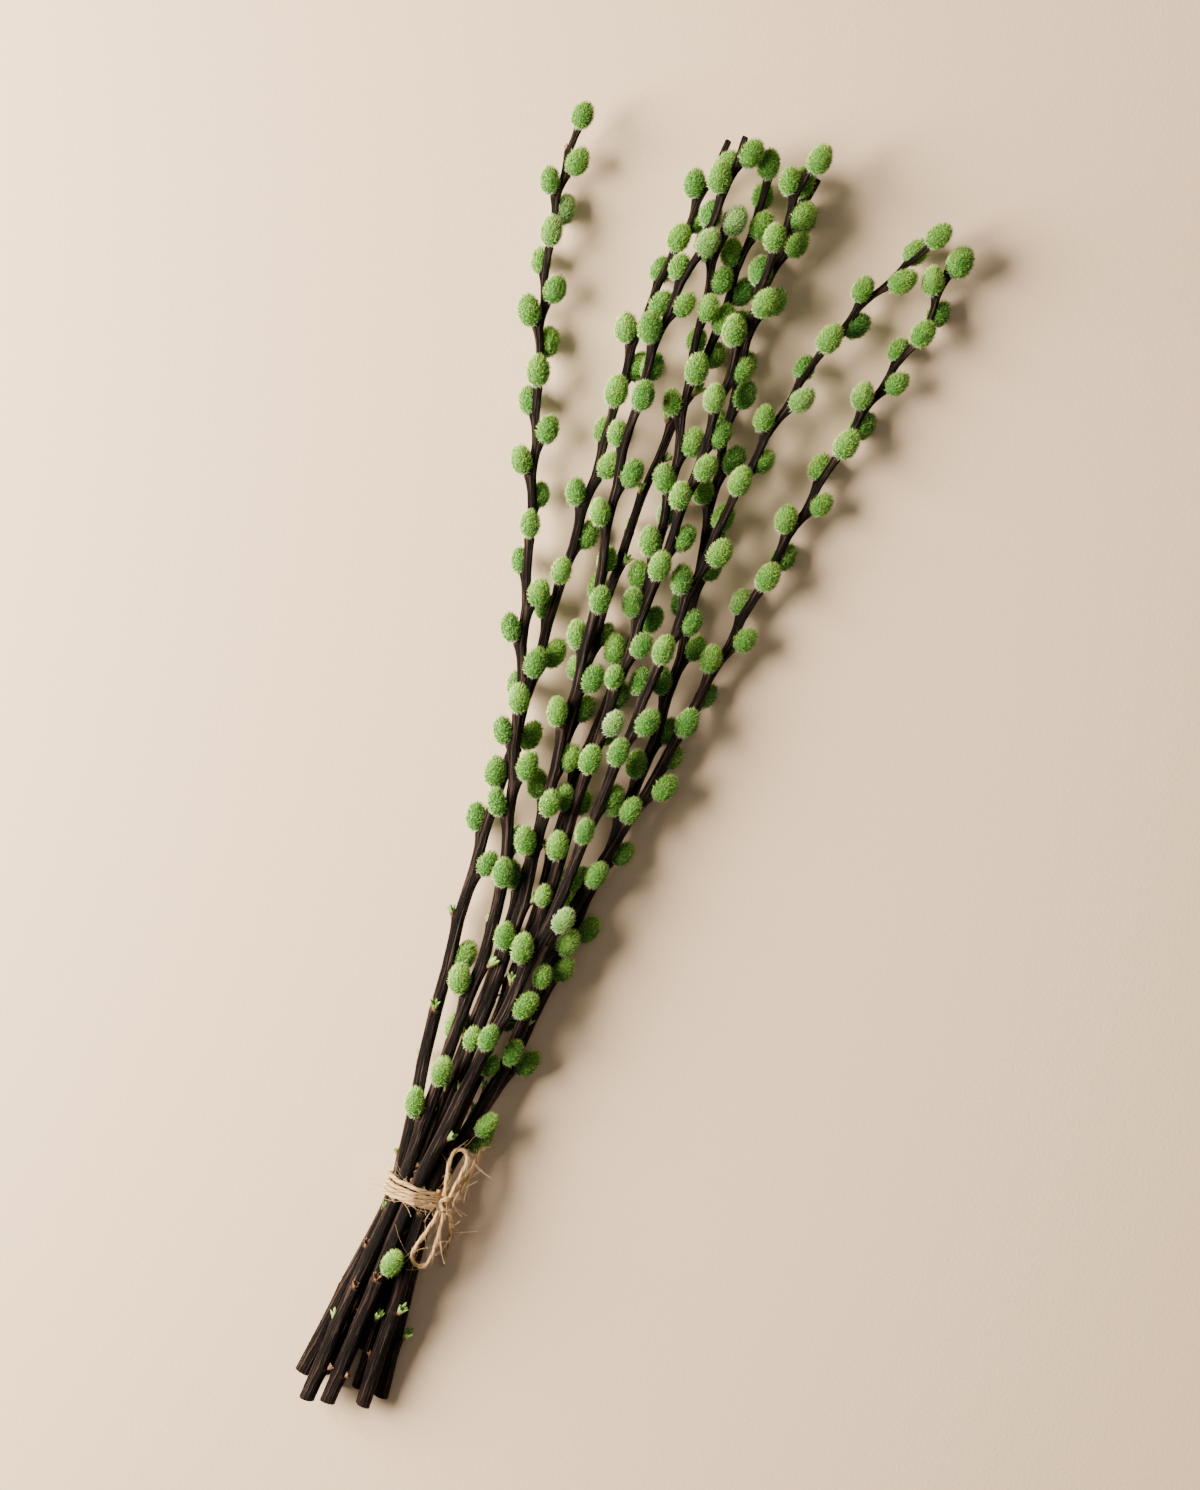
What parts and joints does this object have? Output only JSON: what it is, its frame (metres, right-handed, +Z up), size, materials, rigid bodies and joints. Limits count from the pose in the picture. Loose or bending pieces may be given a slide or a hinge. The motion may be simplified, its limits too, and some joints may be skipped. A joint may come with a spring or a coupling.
{
  "type": "willow twig bunch",
  "caption": "Tied bunch of cut willow twigs with furry green catkins, bound with jute twine in a small bow, lying flat.",
  "frame": {"origin": "on the surface, under the middle of the lying bunch's box", "axes": "+Y along the bunch from the cut ends to the tips, +X across it, +Z up from the surface"},
  "size_m": [0.2312, 0.7176, 0.0408],
  "materials": {
    "willow_bark": "dark chocolate-brown young bark, satin, finely wrinkled lengthwise",
    "catkin_fur": "short silky fur, leaf green with paler yellow-green tops",
    "jute_twine": "two-ply natural jute, matt, with loose fibres"
  },
  "bodies": {
    "root": {"twig_1": "willow_bark", "twig_2": "willow_bark", "twig_3": "willow_bark", "twig_4": "willow_bark", "twig_5": "willow_bark", "twig_6": "willow_bark", "twig_7": "willow_bark", "twig_8": "willow_bark", "twig_9": "willow_bark", "twine_wraps": "jute_twine", "twine_knot": "jute_twine", "bow_loop_upper": "jute_twine", "bow_loop_lower": "jute_twine", "tail_upper": "jute_twine", "tail_lower": "jute_twine"}
  },
  "joints": []
}
